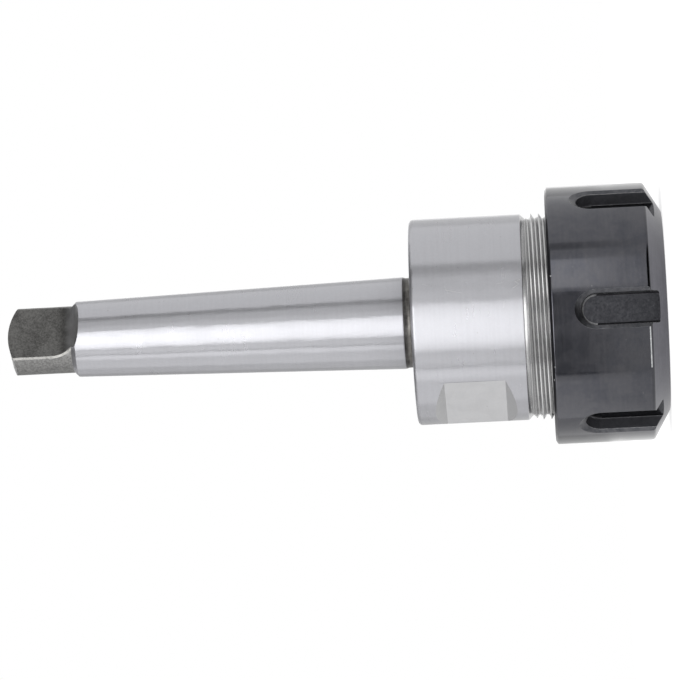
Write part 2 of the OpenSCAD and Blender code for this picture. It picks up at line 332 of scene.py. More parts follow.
# scratch: a straight line between two places, fading to nothing at this distance from it
scratch, given, out = newGroup(
    "scratch", {"Vector": "Vector", "From": "Vector", "To": "Vector", "Width": "Float"},
    {"Scratch": "Float"})
whole = vectorMath(scratch, "SUBTRACT", given["To"], given["From"])
partly = vectorMath(scratch, "SUBTRACT", given["Vector"], given["From"])
along = vectorMath(scratch, "DOT_PRODUCT", partly, whole)
length = vectorMath(scratch, "DOT_PRODUCT", whole, whole)
share = addNode(scratch, "Clamp", {"Value": calculate(scratch, "DIVIDE", along, length)}).outputs[0]
nearest = vectorMath(scratch, "SCALE", whole, share)
away = calculate(scratch, "DIVIDE", vectorMath(scratch, "DISTANCE", partly, nearest), mm)
scratch.links.new(fade(scratch, away, 0, given["Width"], 1, 0), out["Scratch"])

# edgeWear: how worn an edge of this roundness is, and the rounded normal
edgeWear, given, out = newGroup(
    "edgeWear", {"Vector": "Vector", "Radius": "Float", "Wear": "Float"},
    {"Worn": "Float", "Normal": "Vector"})
radius = calculate(edgeWear, "MULTIPLY", given["Radius"], mm)
rounded = addNode(edgeWear, "Bevel", {"Radius": radius}, samples=patterns["roundingSamples"])
rounded = rounded.outputs[0]
flat = addNode(edgeWear, "NewGeometry").outputs["Normal"]
turned = fade(edgeWear, vectorMath(edgeWear, "DOT_PRODUCT", rounded, flat), *patterns["wornTurn"])
patch = noise(edgeWear, given["Vector"], patterns["wornPatchesPerMm"] / mm)
patch = fade(edgeWear, patch, *patterns["wornContrast"])
worn = calculate(edgeWear, "MULTIPLY", turned, patch)
edgeWear.links.new(calculate(edgeWear, "MULTIPLY", worn, given["Wear"]), out["Worn"])
edgeWear.links.new(rounded, out["Normal"])

# What each finish takes, where it isn't as the one that it is like or as the plain one: colours in
# linear light, sizes and depths in millimetres
plainLook = {"metallic": 1.0, "anisotropic": 0.0, "linesPerMm": 2.5, "arc": 8.0, "markShare": 0.4,
             "markDepth": 0.001, "markRough": 0.05, "waveDepth": 0.0, "grainSize": 0.4,
             "grainShare": 0.5, "smudgeSize": 4, "smudgeShare": 0.5, "smudgeRough": 0.06,
             "speckShare": 0.1}
looks = {
    "groundSteel": {
        "dark": (0.464, 0.465, 0.49), "light": (0.515, 0.516, 0.543), "roughness": 0.3,
        "anisotropic": 1.0, "linesPerMm": 1.6, "arc": 1.2, "markShare": 0.5, "markDepth": 0.0003,
        "markRough": 0.03, "waveDepth": 0.018, "grainShare": 0.3, "smudgeSize": 7,
        "smudgeShare": 0.4, "smudgeRough": 0.04, "speck": (0.34, 0.33, 0.32), "speckShare": 0.08},
    "threadSteel": {
        "dark": (0.6, 0.6, 0.6), "light": (0.68, 0.68, 0.685), "roughness": 0.22,
        "linesPerMm": 1.5, "arc": 2.0, "markShare": 0.1, "markDepth": 0.0, "markRough": 0.03,
        "grainSize": 0.6, "grainShare": 0.05, "smudgeSize": 3, "smudgeShare": 0.1,
        "smudgeRough": 0.04, "speck": (0.16, 0.15, 0.14), "speckShare": 0.0},
    "milledSteel": {
        "dark": (0.59, 0.59, 0.6), "light": (0.645, 0.645, 0.655), "roughness": 0.36,
        "linesPerMm": 1.2, "arc": 4.0, "markDepth": 0.0008, "waveDepth": 0.004, "grainSize": 0.5,
        "grainShare": 0.3, "smudgeShare": 0.6, "speck": (0.3, 0.3, 0.3), "speckShare": 0.15},
    # painted shade: a darker copy of the milled finish, for one wall of each wrench flat
    "shadedMilledWall": {
        "like": "milledSteel", "dark": (0.42, 0.42, 0.425), "light": (0.48, 0.48, 0.485),
        "smudgeSize": 2, "speck": (0.2, 0.2, 0.2)},
    "neckSteel": {
        "dark": (0.065, 0.062, 0.058), "light": (0.19, 0.183, 0.174), "roughness": 0.36,
        "anisotropic": 0.4, "arc": 2.5, "markShare": 0.6, "markRough": 0.08, "waveDepth": 0.004,
        "grainShare": 0.3, "smudgeSize": 2.5, "smudgeRough": 0.1, "speck": (0.05, 0.04, 0.035)},
    "tangScale": {
        "dark": (0.1, 0.098, 0.095), "light": (0.18, 0.178, 0.172), "roughness": 0.42,
        "linesPerMm": 1.8, "arc": 6.0, "markShare": 0.35, "markRough": 0.08, "waveDepth": 0.006,
        "grainSize": 0.35, "grainShare": 0.8, "smudgeRough": 0.1, "speck": (0.05, 0.05, 0.048),
        "speckShare": 0.15, "wornColor": (0.55, 0.545, 0.53), "wearRadius": 0.2, "wear": 0.35},
    "tangSide": {
        "like": "tangScale", "dark": (0.15, 0.149, 0.147), "light": (0.27, 0.268, 0.262),
        "linesPerMm": 2.2, "arc": 8.0, "markShare": 0.4, "markDepth": 0.0015, "smudgeSize": 1.0,
        "smudgeShare": 0.6, "speck": (0.09, 0.09, 0.088), "speckShare": 0.3},
    "tangEdge": {
        "dark": (0.15, 0.148, 0.142), "light": (0.27, 0.266, 0.256), "roughness": 0.34,
        "linesPerMm": 2.2, "markShare": 0.5, "markRough": 0.08, "smudgeSize": 1.2,
        "smudgeShare": 0.7, "smudgeRough": 0.1, "speck": (0.25, 0.25, 0.24), "speckShare": 0.2},
    "blackOxide": {
        "dark": (0.037, 0.039, 0.051), "light": (0.064, 0.064, 0.074), "roughness": 0.15,
        "linesPerMm": 2.0, "arc": 3.0, "markShare": 0.3, "markDepth": 0.0003, "markRough": 0.03,
        "waveDepth": 0.01, "grainSize": 0.6, "grainShare": 0.35, "smudgeShare": 0.7,
        "speck": (0.2, 0.2, 0.2), "speckShare": 0.06, "wornColor": (0.34, 0.34, 0.35),
        "wearRadius": 0.16, "wear": 0.8, "coat": 0.9, "coatRough": 0.08},
    "blackBevel": {
        "like": "blackOxide", "dark": (0.1, 0.099, 0.124), "light": (0.148, 0.146, 0.175),
        "roughness": 0.2, "linesPerMm": 3.0, "arc": 1.5, "markShare": 0.7, "markDepth": 0.0004,
        "markRough": 0.05, "smudgeShare": 0.5},
    # Its strong edge wear is partly real wear and partly a painted highlight on the slot's edges
    "slotLip": {
        "like": "blackOxide", "dark": (0.052, 0.054, 0.062), "light": (0.11, 0.111, 0.12),
        "roughness": 0.42, "linesPerMm": 3.0, "markShare": 0.6, "smudgeSize": 2,
        "wornColor": (0.5, 0.5, 0.51), "wearRadius": 0.22, "wear": 1.0, "coat": 0.5,
        "coatRough": 0.3},
    "blackSlot": {
        "like": "slotFilletHighlight", "dark": (0.041, 0.042, 0.048), "light": (0.08, 0.081, 0.089),
        "roughness": 0.24, "waveDepth": 0.004, "grainSize": 0.35, "smudgeSize": 0.6,
        "smudgeShare": 0.5, "speck": (0.12, 0.12, 0.115), "speckShare": 0.12,
        "wornColor": (0.3, 0.3, 0.31), "wearRadius": 0.14, "wear": 0.5},
    # painted highlight: lighter, for the fillet round the slot's rounded end; the other slot
    # finishes start from it
    "slotFilletHighlight": {
        "dark": (0.09, 0.09, 0.094), "light": (0.2, 0.2, 0.206), "roughness": 0.34,
        "markShare": 0.2, "markDepth": 0.0006, "markRough": 0.04, "smudgeSize": 1.5,
        "smudgeShare": 0.8, "smudgeRough": 0.04, "speck": (0.1, 0.1, 0.1)},
    # painted shade: near black, as a dark outline round the slot's floor
    "slotCornerShade": {
        "like": "slotFilletHighlight", "dark": (0.012, 0.012, 0.014), "light": (0.02, 0.02, 0.022),
        "roughness": 0.5, "speck": (0.05, 0.05, 0.05)},
    # Its strong edge wear is partly real wear and partly a painted highlight on the slot's edges
    "slotWall": {
        "like": "slotFilletHighlight", "dark": (0.05, 0.051, 0.057), "light": (0.075, 0.076, 0.084),
        "roughness": 0.36, "grainShare": 0.3, "smudgeSize": 0.8, "smudgeShare": 0.5,
        "speck": (0.12, 0.12, 0.115), "wornColor": (0.4, 0.4, 0.41), "wearRadius": 0.25,
        "wear": 1.0, "metallic": 0.4},
    "bareNick": {
        "dark": (0.3, 0.3, 0.3), "light": (0.5, 0.5, 0.5), "roughness": 0.3, "linesPerMm": 4.0,
        "grainSize": 0.2, "grainShare": 0.3, "smudgeSize": 0.4, "smudgeRough": 0.1,
        "speck": (0.3, 0.3, 0.3), "speckShare": 0.2},
    # painted highlight as well as bare metal: a bright strip on part of the nut's bevel edge
    "bareEdgeAndGlint": {
        "like": "bareNick", "dark": (0.5, 0.51, 0.52), "light": (0.76, 0.77, 0.78),
        "roughness": 0.25, "markDepth": 0.0, "grainSize": 0.3, "grainShare": 0.5,
        "smudgeSize": 1.5, "smudgeShare": 0.8, "speck": (0.2, 0.2, 0.2), "speckShare": 0.1},
    "springSteel": {
        "dark": (0.4, 0.4, 0.41), "light": (0.5, 0.5, 0.515), "roughness": 0.28,
        "anisotropic": 0.7, "linesPerMm": 2.2, "arc": 1.2, "markShare": 0.5, "markDepth": 0.0005,
        "waveDepth": 0.004, "grainSize": 0.5, "grainShare": 0.2, "speck": (0.3, 0.3, 0.3),
        "speckShare": 0.08},
}
# Scratches on the head: angles are counted from the camera's side towards +X, and heights from the
# nut's face
scratchTone = {"color": (0.95, 0.95, 0.95), "roughness": 0.3}
headScratches = [
    {"from": (17.3, 42.14), "to": (16.1, 40.67), "width": 0.09, "strength": 0.55},
    {"from": (16.1, 40.54), "to": (15.0, 38.94), "width": 0.07, "strength": 0.35},
    {"from": (19.2, 42.18), "to": (14.9, 41.53), "width": 0.07, "strength": 0.3},
    {"from": (21.0, 46.37), "to": (19.9, 44.96), "width": 0.07, "strength": 0.3},
    {"from": (21.0, 27.8), "to": (20.0, 28.79), "width": 0.12, "strength": 0.9},
    {"from": (20.0, 28.79), "to": (18.5, 27.97), "width": 0.09, "strength": 0.7},
    {"from": (18.2, 28.17), "to": (16.5, 29.18), "width": 0.1, "strength": 0.75},
    {"from": (19.2, 32.34), "to": (19.7, 31.14), "width": 0.07, "strength": 0.35},
    {"from": (9.1, 30.99), "to": (5.7, 31.11), "width": 0.06, "strength": 0.3},
]


def lookOf(name):
    look = looks[name]
    return {**(lookOf(look["like"]) if "like" in look else plainLook), **look}


def vary(tree, pattern, share, level):  # a level, moved up and down by this share of a pattern
    middle = calculate(tree, "SUBTRACT", pattern, 0.5)
    return calculate(tree, "MULTIPLY_ADD", middle, share, level)


def makeFinish(name):
    look = lookOf(name)
    finish, tree, shader = newMaterial(name)
    shader["Metallic"].default_value = look["metallic"]
    shader["Anisotropic"].default_value = look["anisotropic"]
    shader["Anisotropic Rotation"].default_value = 0.25  # highlights spread along the axis
    place = addNode(tree, "TexCoord").outputs["Object"]
    marks = useGroup(tree, turningMarks, Vector=place, LinesPerMm=look["linesPerMm"],
                     Arc=look["arc"])[0]
    waves = useGroup(tree, turningMarks, Vector=place, LinesPerMm=patterns["wavesPerMm"],
                     Arc=patterns["waveArc"])[0]
    smudge = useGroup(tree, smudges, Vector=place, Size=look["smudgeSize"])[0]
    grain = useGroup(tree, smudges, Vector=place, Size=look["grainSize"])[0]
    speck = useGroup(tree, specks, Vector=place, Spacing=patterns["speckSpacing"],
                     Size=patterns["speckSize"], Share=look["speckShare"])[0]

    tone = vary(tree, marks, look["markShare"], 0.5)
    tone = vary(tree, smudge, look["smudgeShare"], tone)
    tone = vary(tree, grain, look["grainShare"], tone)
    color = blend(tree, tone, look["dark"], look["light"])
    color = blend(tree, speck, color, look["speck"])
    rough = vary(tree, marks, look["markRough"], look["roughness"])
    rough = vary(tree, smudge, look["smudgeRough"], rough)
    rough = calculate(tree, "MULTIPLY_ADD", speck, patterns["speckRough"], rough)
    depth = calculate(tree, "MULTIPLY", marks, look["markDepth"] * mm)
    depth = calculate(tree, "MULTIPLY_ADD", waves, look["waveDepth"] * mm, depth)
    bump = addNode(tree, "Bump", {"Height": depth, "Distance": 1.0})
    if "coat" in look:  # a film of oil
        shader["Coat Weight"].default_value = look["coat"]
        shader["Coat Roughness"].default_value = look["coatRough"]
    if "wear" in look:
        worn = useGroup(tree, edgeWear, Vector=place, Radius=look["wearRadius"], Wear=look["wear"])
        color = blend(tree, worn["Worn"], color, look["wornColor"])
        tree.links.new(worn["Normal"], bump.inputs["Normal"])
    tree.links.new(bump.outputs[0], shader["Normal"])
    tree.links.new(color, shader["Base Color"])
    tree.links.new(rough, shader["Roughness"])
    return finish


def reopen(finish):  # a finish's nodes, its shader's inputs, its colour so far and the place
    tree = finish.node_tree
    shader = tree.nodes["Principled BSDF"].inputs
    place = addNode(tree, "TexCoord").outputs["Object"]
    return tree, shader, shader["Base Color"].links[0].from_socket, place


def onHead(angle, height):
    return (Vector((*facing(angle), 0)) * holderHigh.x + Vector((0, 0, height))) * mm


def addHeadScratches(finish):  # pale lines over the ground finish
    tree, shader, color, place = reopen(finish)
    rough = shader["Roughness"].links[0].from_socket
    for line in headScratches:
        ends = {"From": onHead(*line["from"]), "To": onHead(*line["to"])}
        mark = useGroup(tree, scratch, Vector=place, Width=line["width"], **ends)[0]
        mark = calculate(tree, "MULTIPLY", mark, line["strength"])
        color = blend(tree, mark, color, scratchTone["color"])
        rough = calculate(tree, "MULTIPLY_ADD", mark, scratchTone["roughness"], rough)
    tree.links.new(color, shader["Base Color"])
    tree.links.new(rough, shader["Roughness"])


groundSteel = makeFinish("groundSteel")
addHeadScratches(groundSteel)
threadSteel = makeFinish("threadSteel")
milledSteel = makeFinish("milledSteel")
shadedMilledWall = makeFinish("shadedMilledWall")
neckSteel = makeFinish("neckSteel")
tangScale = makeFinish("tangScale")
tangSide = makeFinish("tangSide")
tangEdge = makeFinish("tangEdge")
blackOxide = makeFinish("blackOxide")
blackBevel = makeFinish("blackBevel")
slotLip = makeFinish("slotLip")
blackSlot = makeFinish("blackSlot")
slotWall = makeFinish("slotWall")
slotFilletHighlight = makeFinish("slotFilletHighlight")
slotCornerShade = makeFinish("slotCornerShade")
bareNick = makeFinish("bareNick")
bareEdgeAndGlint = makeFinish("bareEdgeAndGlint")
springSteel = makeFinish("springSteel")
print("finishes made")

# Thread, M40 x 1.5, cut on the holder and in the nut; a crest's flat is this share of the pitch
# The last two entries are painted shade, which darkens the thread's colour towards its core
thread = {"radius": 20.0, "pitch": 1.5, "depthShare": 0.613, "flatShare": 0.125, "flankAngle": 30,
          "play": 0.15, "sink": 0.13, "crestBelowShoulder": 2.13, "runOut": 0.9, "grooveShade": 0.4,
          "grooveShadeColor": (0.2, 0.2, 0.2)}
coreRadius = thread["radius"] - thread["depthShare"] * thread["pitch"]
nutBoreRadius = thread["radius"] + thread["play"]


def addGrooveShade(finish):  # painted shade: the thread is painted darker towards its core, as shade in its grooves
    tree, shader, color, place = reopen(finish)
    reach = vectorMath(tree, "LENGTH", vectorMath(tree, "MULTIPLY", place, (1, 1, 0)))
    paintedShade = fade(tree, reach, coreRadius * mm, thread["radius"] * mm, thread["grooveShade"], 0)
    tree.links.new(blend(tree, paintedShade, color, thread["grooveShadeColor"]), shader["Base Color"])


addGrooveShade(threadSteel)


def ridgeHalf(radius):  # half the width of the holder's ridge at a radius
    crestHalf = thread["pitch"] * thread["flatShare"] / 2
    return crestHalf + (thread["radius"] - radius) * tanDeg(thread["flankAngle"])


def grooveHalf(radius):  # the same for the nut's ridge, which fills the groove less the play
    return thread["pitch"] / 2 - ridgeHalf(radius - thread["play"])


# Holder
holder = {"threadLength": 14.1, "headRadius": 20.0, "headBack": 4.15, "headRounding": 0.8,
          "neckLength": 1.85, "neckDepth": 0.22, "gaugeRadius": 8.89, "gaugeStand": 2.2,
          "taperRate": 20.02, "taperLength": 61.6, "edge": 0.12}
socket = {"angle": 8, "mouthRadius": 15.999, "chamfer": 0.4, "reliefLength": 2.5, "reliefStep": 0.1,
          "depth": 31.5, "pilotRadius": 5.0, "pilotLength": 1.5, "pointAngle": 59}
wrenchFlat = {"across": 36, "fromShoulder": 4.14, "fromRear": 5.71, "turn": 27.7}
# The last four entries are painted light, which makes the flats' run-outs paler towards the shank
tang = {"step": 0.56, "foot": 0.29, "thickness": 6.3, "cutRadius": 6.0, "bite": 0.87,
        "bevelDepth": 0.13, "bevelCutRadius": 10.9, "endRadius": 12.0, "endShift": -0.6,
        "turn": -59, "paintedLightFrom": 2.6, "paintedLightTo": 0.2, "paintedLightShare": 0.65,
        "paintedLightColor": (0.85, 0.85, 0.865)}

frontZ = holderLow.z
shoulderZ = frontZ + holder["threadLength"]
socketEndZ = frontZ + socket["depth"]
headEndZ = socketEndZ + holder["headBack"]
shankZ = headEndZ + holder["neckLength"]
smallEndZ = shankZ + holder["gaugeStand"] + holder["taperLength"]
tipZ = holderHigh.z
bigEndRadius = holder["gaugeRadius"] + holder["gaugeStand"] / holder["taperRate"] / 2
smallEndRadius = holder["gaugeRadius"] - holder["taperLength"] / holder["taperRate"] / 2
tangRadius = smallEndRadius - tang["step"] - tang["foot"]
tangFootZ = smallEndZ + tang["step"] + tang["foot"]
coreTopZ = shoulderZ - (holder["headRadius"] - coreRadius)
crestZ = shoulderZ - thread["crestBelowShoulder"]


def addRunOutLight(finish):  # painted light: the flats' run-outs are painted paler towards the shank
    tree, shader, color, place = reopen(finish)
    height = addNode(tree, "SeparateXYZ", {0: place}).outputs["Z"]
    low, high = [(smallEndZ + tang[name]) * mm for name in ("paintedLightTo", "paintedLightFrom")]
    share = fade(tree, height, low, high, tang["paintedLightShare"], 0)
    tree.links.new(blend(tree, share, color, tang["paintedLightColor"]), shader["Base Color"])


addRunOutLight(tangScale)


def makeHolder():
    edge = holder["edge"]
    neckRadius = bigEndRadius - holder["neckDepth"]
    reliefZ = socketEndZ - socket["reliefLength"]
    slope = tanDeg(socket["angle"])
    reliefRadius = socket["mouthRadius"] - (reliefZ - frontZ) * slope
    pilotEndZ = socketEndZ + socket["pilotLength"]
    inside = [
        (0, pilotEndZ + socket["pilotRadius"] / tanDeg(socket["pointAngle"])),
        (socket["pilotRadius"], pilotEndZ),
        (socket["pilotRadius"], socketEndZ, edge),
        (reliefRadius + socket["reliefStep"], socketEndZ, edge),
        (reliefRadius + socket["reliefStep"], reliefZ),
        (reliefRadius, reliefZ),
        (socket["mouthRadius"] - socket["chamfer"] * slope, frontZ + socket["chamfer"]),
        (socket["mouthRadius"] + socket["chamfer"], frontZ),
    ]
    outside = [
        (coreRadius, frontZ, edge),
        (coreRadius, coreTopZ),
        (holder["headRadius"], shoulderZ, edge),
        (holder["headRadius"], headEndZ, holder["headRounding"]),
        (bigEndRadius + edge, headEndZ),
        (bigEndRadius, headEndZ + edge),
        (neckRadius, headEndZ + holder["neckLength"] / 3),
        (neckRadius, shankZ - holder["neckLength"] / 3),
        (bigEndRadius, shankZ, edge),
        (smallEndRadius, smallEndZ, edge),
        (smallEndRadius - tang["step"], smallEndZ + tang["step"]),
        (tangRadius, tangFootZ),
    ]
    rawEnd = [(tangRadius, tipZ + overcut / 2), (0, tipZ + overcut / 2)]
    body = turn("holderBody", inside + outside + rawEnd)
    body.data.materials.append(groundSteel)
    paint(body, tangSide, lambda r, z, out, up: z > smallEndZ + tang["step"] and up < 0.5)

    root = coreRadius - thread["sink"]
    crest = thread["radius"]
    ridge = screwRidge("holderRidge", (root, ridgeHalf(root)), (crest, ridgeHalf(crest)),
                       thread["pitch"], crestZ, frontZ, shoulderZ)
    inner = coreRadius - 2 * thread["sink"]
    outer = crest + thread["sink"]
    firstZ = frontZ + apart / 2
    lastZ = coreTopZ - apart
    blank = turn("threadBlank", [
        (inner, firstZ), (coreRadius + apart, firstZ), (outer, firstZ + outer - coreRadius),
        (outer, lastZ - thread["runOut"]), (coreRadius, lastZ), (inner, lastZ), (inner, firstZ)])
    carve(ridge, blank, "INTERSECT")
    ridge.data.materials.append(threadSteel)
    carve(body, ridge, "UNION")

    floor = wrenchFlat["across"] / 2
    reach = holder["headRadius"] + overcut - floor
    lowZ = shoulderZ + wrenchFlat["fromShoulder"]
    highZ = headEndZ - wrenchFlat["fromRear"]
    flat = prism("wrenchFlat", [
        (floor, lowZ), (floor + reach, lowZ - reach), (floor + reach, highZ + reach),
        (floor, highZ), (floor, lowZ)], 2 * holder["headRadius"])
    flat.data.materials.append(milledSteel)
    carve(body, ringOf(flat, [wrenchFlat["turn"], wrenchFlat["turn"] + 180]))
    # painted shade: the wall towards the head's rear end of each wrench flat is painted darker
    paint(body, shadedMilledWall,
          lambda r, z, out, up: highZ < z < headEndZ - edge and r > floor and up < -0.5)

    floor = tang["thickness"] / 2
    cut = tang["cutRadius"]
    startZ = smallEndZ - tang["bite"] + math.sqrt(cut ** 2 - (cut - (smallEndRadius - floor)) ** 2)
    aboveZ = tipZ + overcut
    runOut = arcPoints(floor + cut, startZ, cut, 180, 270, 24)
    flat = prism("tangFlat", [(floor, aboveZ)] + runOut + [(floor + cut, aboveZ), (floor, aboveZ)],
                 2 * smallEndRadius + overcut)
    flat.data.materials.append(tangScale)
    carve(body, ringOf(flat, [tang["turn"], tang["turn"] + 180]))

    corner = math.acos(floor / tangRadius)  # from the middle of a flat to its corner, end on
    floor = tangRadius * math.cos(corner / 2) - tang["bevelDepth"]
    cut = tang["bevelCutRadius"]
    turnDown = math.degrees(math.asin((startZ - tangFootZ) / cut))
    runOut = arcPoints(floor + cut, startZ, cut, 180, 180 + turnDown, 24)
    bevel = prism("tangBevel", [(floor, aboveZ)] + runOut + [
        (floor + cut, tangFootZ), (floor + cut, aboveZ), (floor, aboveZ)],
        2 * smallEndRadius + overcut)
    halfCorner = math.degrees(corner / 2)
    for side, finish in ((-halfCorner, tangEdge), (halfCorner, tangSide)):
        cutter = copyTurned(bevel, side)
        cutter.data.materials.append(finish)
        carve(body, ringOf(cutter, [tang["turn"], tang["turn"] + 180]))
    bpy.data.objects.remove(bevel)

    reach = tangRadius + overcut
    endRadius = tang["endRadius"]
    turnDown = math.degrees(math.asin(reach / endRadius))
    arc = arcPoints(tang["endShift"], tipZ - endRadius, endRadius, 90 + turnDown, 90 - turnDown, 32)
    waste = prism("tangEnd", arc + [(arc[-1][0], aboveZ), (arc[0][0], aboveZ), arc[0]], 2 * reach)
    waste.data.materials.append(tangSide)
    makeActive(waste)
    waste.rotation_euler.z = math.radians(tang["turn"] + 90)
    bpy.ops.object.transform_apply(rotation=True)
    carve(body, waste)
    return body


holderBody = makeHolder()
paint(holderBody, threadSteel,
      lambda r, z, out, up: frontZ < z < shoulderZ and r > coreRadius - thread["sink"])
paint(holderBody, neckSteel,
      lambda r, z, out, up: headEndZ < z < shankZ - holder["edge"] and abs(up) < 0.99)
print("holder made")

# Clamping nut
nut = {"wall": 4.85, "bevel": 5.75, "bevelAngle": 30, "bevelEdge": 0.4, "rearChamfer": 0.55,
       "boreChamfer": 0.5, "relief": 2.0, "edge": 0.15, "mouthRadius": 13.996, "coneRadius": 16.546,
       "coneAngle": 30, "coneZ": 5.45, "cavityRadius": 16.85, "ringZ": (6.75, 9.0),
       "ringRadius": 15.6, "ringOffset": 0.9}
slot = {"width": 6.1, "floorRadius": 21.8, "length": 16.5, "chamfer": 0.75, "chamferAngle": 60,
        "fillet": 0.45, "turn": -28, "count": 6}
# Between these angles the bevel's edge is painted bright, partly as rubbed metal and partly as a
# painted highlight. They and the angles of the nicks on the rear edge are counted from the camera's
# side towards +X.
bareGlintStretch = (-25.2, -5.0)
nicks = [
    {"angle": 17.5, "radius": 24.95, "fromRear": 0.55, "size": 0.14},
    {"angle": -23.0, "radius": 24.9, "fromRear": 0.6, "size": 0.12},
    {"angle": -29.5, "radius": 24.8, "fromRear": 0.3, "size": 0.14},
    {"angle": 96.0, "radius": 24.9, "fromRear": 0.45, "size": 0.14},
]
nutRadius = nutBoreRadius + nut["wall"]
nutTopZ = nutHigh.z
bevelEndZ = nut["bevel"] * tanDeg(nut["bevelAngle"])


def makeSlotCutter():
    radius = slot["width"] / 2
    chamferRadius = math.sqrt(nutRadius ** 2 - (radius + slot["chamfer"]) ** 2)
    chamferRadius -= slot["chamfer"] / tanDeg(slot["chamferAngle"])
    endZ = slot["length"] - radius
    rise = chamferRadius - slot["floorRadius"]
    deselectAll()
    bpy.ops.mesh.primitive_cylinder_add(
        vertices=64, radius=radius, depth=rise, rotation=(0, math.pi / 2, 0),
        location=(slot["floorRadius"] + rise / 2, 0, endZ))
    cutter = bpy.context.object
    bpy.ops.object.transform_apply(location=True, rotation=True)
    flare = nutRadius + overcut - chamferRadius
    pick(cutter, "FACE", lambda face: face.normal.x > 0.9)
    bpy.ops.mesh.extrude_region_move(TRANSFORM_OT_translate={"value": (flare, 0, 0)})
    grow = 1 + flare * tanDeg(slot["chamferAngle"]) / radius
    bpy.ops.transform.resize(value=(1, grow, grow), center_override=(0, 0, endZ))
    bpy.ops.mesh.select_all(action="SELECT")
    bpy.ops.mesh.bisect(plane_co=(0, 0, endZ), plane_no=(0, 0, -1), clear_outer=True, use_fill=True)
    pick(cutter, "FACE", lambda face: face.normal.z < -0.9)
    bpy.ops.mesh.extrude_region_move(TRANSFORM_OT_translate={"value": (0, 0, -endZ - overcut)})
    bpy.ops.mesh.select_all(action="SELECT")
    bpy.ops.mesh.remove_doubles()
    bpy.ops.mesh.normals_make_consistent(inside=False)
    pick(cutter, "EDGE", lambda line: (
        all(abs(end.co.x - slot["floorRadius"]) < tiny for end in line.verts)
        and any(face.normal.x > -0.9 for face in line.link_faces)
        and sum(end.co.z for end in line.verts) > -overcut))
    bpy.ops.mesh.bevel(offset=slot["fillet"], segments=2)
    deselectAll()
    cutter.data.materials.append(blackSlot)
    # painted shade: the corner fillets round the slot's floor are painted near black
    paint(cutter, slotCornerShade, lambda r, z, out, up: -0.98 < out < -0.2)
    # painted highlight: only the fillet round the slot's rounded end is painted lighter
    paint(cutter, slotFilletHighlight, lambda r, z, out, up: -0.98 < out < -0.7 and z > endZ)
    return cutter


def makeNut():
    edge = nut["edge"]
    ringLow, ringHigh = nut["ringZ"]
    ringInner = nut["ringRadius"] - nut["ringOffset"] - overcut / 2  # the bore cuts all round
    mouthZ = nut["coneZ"] - (nut["coneRadius"] - nut["mouthRadius"]) / tanDeg(nut["coneAngle"])
    points = [
        (nut["mouthRadius"], 0, edge),
        (nutRadius - nut["bevel"], 0, edge),
        (nutRadius, bevelEndZ, nut["bevelEdge"]),
        (nutRadius, nutTopZ - nut["rearChamfer"], edge),
        (nutRadius - nut["rearChamfer"], nutTopZ, edge),
        (nutBoreRadius + nut["boreChamfer"], nutTopZ, edge),
        (nutBoreRadius, nutTopZ - nut["boreChamfer"]),
        (nutBoreRadius, ringHigh),
        (ringInner, ringHigh),
        (ringInner, ringLow),
        (nut["cavityRadius"], ringLow),
        (nut["cavityRadius"], nut["coneZ"]),
        (nut["coneRadius"], nut["coneZ"]),
        (nut["mouthRadius"], mouthZ),
        (nut["mouthRadius"], 0),
    ]
    body = turn("clampingNut", points)
    body.data.materials.append(blackOxide)
    paint(body, blackBevel,
          lambda r, z, out, up: r > nutRadius - nut["bevel"] and -0.9 < up < -0.8)

    deselectAll()
    bpy.ops.mesh.primitive_cylinder_add(
        vertices=192, radius=nut["ringRadius"], depth=ringHigh - ringLow + overcut,
        location=(nut["ringOffset"], 0, (ringLow + ringHigh) / 2))
    ringBore = bpy.context.object
    ringBore.data.materials.append(blackOxide)
    carve(body, ringBore)

    root = nutBoreRadius + thread["sink"]
    crest = coreRadius + thread["play"]
    fromZ = ringHigh + nut["relief"]
    toZ = nutTopZ - nut["boreChamfer"]
    ridge = screwRidge("nutRidge", (root, grooveHalf(root)), (crest, grooveHalf(crest)),
                       thread["pitch"], crestZ - thread["pitch"] / 2, fromZ, toZ)
    inner = crest - thread["sink"]
    outer = root + thread["sink"]
    rise = outer - inner
    blank = turn("nutThreadBlank", [
        (outer, fromZ - apart), (outer, toZ - apart), (inner, toZ - apart - rise),
        (inner, fromZ - apart + rise), (outer, fromZ - apart)])
    carve(ridge, blank, "INTERSECT")
    carve(body, ridge, "UNION")
    turns = [slot["turn"] + i * 360 / slot["count"] for i in range(slot["count"])]
    carve(body, ringOf(makeSlotCutter(), turns))

    edgeZ = bevelEndZ + nut["bevelEdge"]
    lipZ = slot["length"] + slot["chamfer"]
    lipRadius = nutRadius - slot["chamfer"]
    wallRadius = slot["floorRadius"] + edge
    paint(body, slotLip,
          lambda r, z, out, up: r > lipRadius and edgeZ < z < lipZ and 0.7 < out < 0.9)
    paint(body, slotWall, lambda r, z, out, up: (
        wallRadius < r < lipRadius and z < slot["length"] and abs(out) < 0.4))
    # painted highlight as well as rubbed metal: a bright strip along part of the bevel's edge
    paint(body, bareEdgeAndGlint, lambda r, z, out, up: (
        r > nutRadius - nut["bevelEdge"] and z < edgeZ and -0.35 < up < -0.05), bareGlintStretch)
    for nick in nicks:
        x, y = facing(nick["angle"])
        deselectAll()
        bpy.ops.mesh.primitive_ico_sphere_add(
            subdivisions=3, radius=nick["size"],
            location=(x * nick["radius"], y * nick["radius"], nutTopZ - nick["fromRear"]))
        dent = bpy.context.object
        bpy.ops.object.transform_apply(location=True)
        dent.data.materials.append(bareNick)
        carve(body, dent)
    return body


clampingNut = makeNut()
print("nut made")

# Collet
collet = {"radius": 16.5, "noseLength": 9.1, "noseAngle": 30, "land": 1.0, "grooveWidth": 3.0,
          "grooveDepth": 1.9, "boreRadius": 8.0, "chamfer": 0.6, "slits": 8, "slitWidth": 0.8,
          "slitWeb": 6.5, "edge": 0.1}


